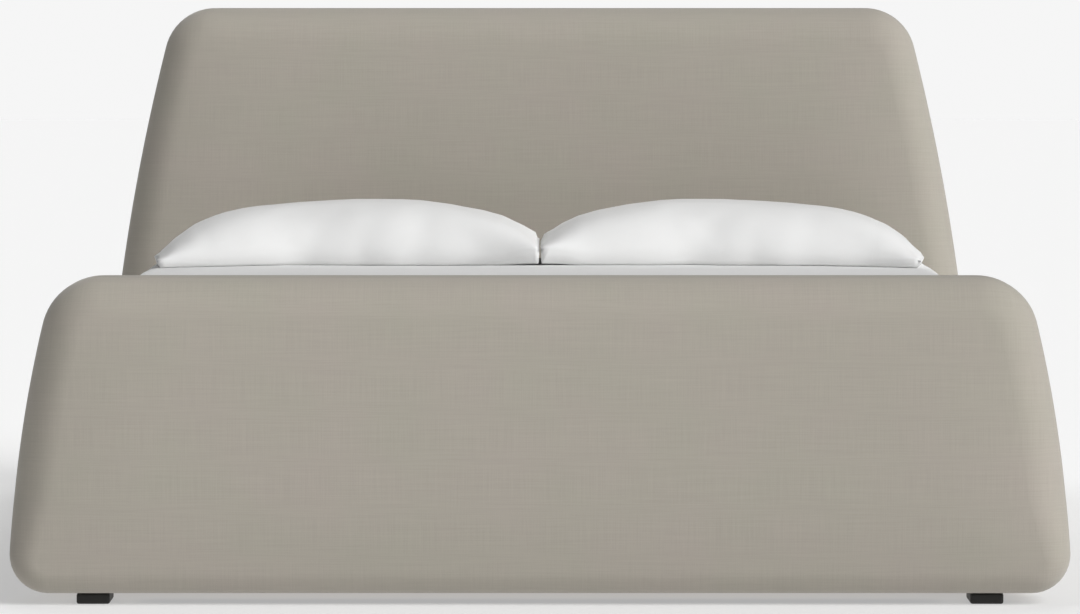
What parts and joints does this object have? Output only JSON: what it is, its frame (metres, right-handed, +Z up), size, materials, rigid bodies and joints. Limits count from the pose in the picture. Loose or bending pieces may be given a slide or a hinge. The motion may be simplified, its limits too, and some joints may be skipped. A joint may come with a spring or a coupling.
{
  "type": "upholstered sleigh bed",
  "caption": "Queen bed with soft-edged fabric headboard and footboard that flare towards the floor, padded side rails, slat base, mattress and pillows.",
  "frame": {"origin": "on the floor, at the middle of the bed's plan outline", "axes": "+Y runs from the footboard to the headboard, +X to the right seen from the foot end, +Z up"},
  "size_m": [1.7238, 2.4812, 0.964],
  "materials": {
    "upholstery": "matte",
    "foam": "matte",
    "plywood": "matte",
    "timber": "matte",
    "slats": "matte",
    "dust_cloth": "matte",
    "feet": "matte",
    "steel": "satin",
    "bolts": "satin",
    "glides": "satin",
    "mattress_cover": "matte",
    "pillow_cover": "matte"
  },
  "bodies": {
    "bed_frame": {"centre_beam": "timber", "centre_leg_1": "timber", "centre_leg_2": "timber", "footboard_beam_hanger": "steel", "footboard_bottom_rail": "timber", "footboard_cover": "upholstery", "footboard_dust_cloth": "dust_cloth", "footboard_foam": "foam", "footboard_inner_panel": "plywood", "footboard_left_bolt": "bolts", "footboard_left_bracket": "steel", "footboard_left_foot": "feet", "footboard_left_post": "timber", "footboard_outer_panel": "plywood", "footboard_right_bolt": "bolts", "footboard_right_bracket": "steel", "footboard_right_foot": "feet", "footboard_right_post": "timber", "footboard_top_rail": "timber", "headboard_beam_hanger": "steel", "headboard_bottom_rail": "timber", "headboard_cover": "upholstery", "headboard_dust_cloth": "dust_cloth", "headboard_foam": "foam", "headboard_inner_panel": "plywood", "headboard_left_bolt": "bolts", "headboard_left_bracket": "steel", "headboard_left_foot": "feet", "headboard_left_post": "timber", "headboard_middle_rail": "timber", "headboard_outer_panel": "plywood", "headboard_right_bolt": "bolts", "headboard_right_bracket": "steel", "headboard_right_foot": "feet", "headboard_right_post": "timber", "headboard_top_rail": "timber", "left_ledger": "timber", "left_rail_board": "plywood", "left_rail_cover": "upholstery", "left_rail_foam": "foam", "right_ledger": "timber", "right_rail_board": "plywood", "right_rail_cover": "upholstery", "right_rail_foam": "foam", "slat_01": "slats", "slat_02": "slats", "slat_03": "slats", "slat_04": "slats", "slat_05": "slats", "slat_06": "slats", "slat_07": "slats", "slat_08": "slats", "slat_09": "slats", "slat_10": "slats", "slat_11": "slats"},
    "mattress": {"mattress": "mattress_cover"},
    "left_pillow": {"left_pillow": "pillow_cover"},
    "right_pillow": {"right_pillow": "pillow_cover"},
    "leg_glide_1": {"leg_glide_1": "glides"},
    "leg_glide_2": {"leg_glide_2": "glides"}
  },
  "joints": [
    {"name": "mattress_lift", "type": "slide", "parent": "bed_frame", "child": "mattress", "axis": [0, 0, 1], "range_m": [0, 0.4]},
    {"name": "left_pillow_lift", "type": "slide", "parent": "mattress", "child": "left_pillow", "axis": [0, 0, 1], "range_m": [0, 0.3]},
    {"name": "right_pillow_lift", "type": "slide", "parent": "mattress", "child": "right_pillow", "axis": [0, 0, 1], "range_m": [0, 0.3]},
    {"name": "glide_1_level", "type": "slide", "parent": "bed_frame", "child": "leg_glide_1", "axis": [0, 0, 1], "range_m": [0, 0.012]},
    {"name": "glide_2_level", "type": "slide", "parent": "bed_frame", "child": "leg_glide_2", "axis": [0, 0, 1], "range_m": [0, 0.012]}
  ]
}
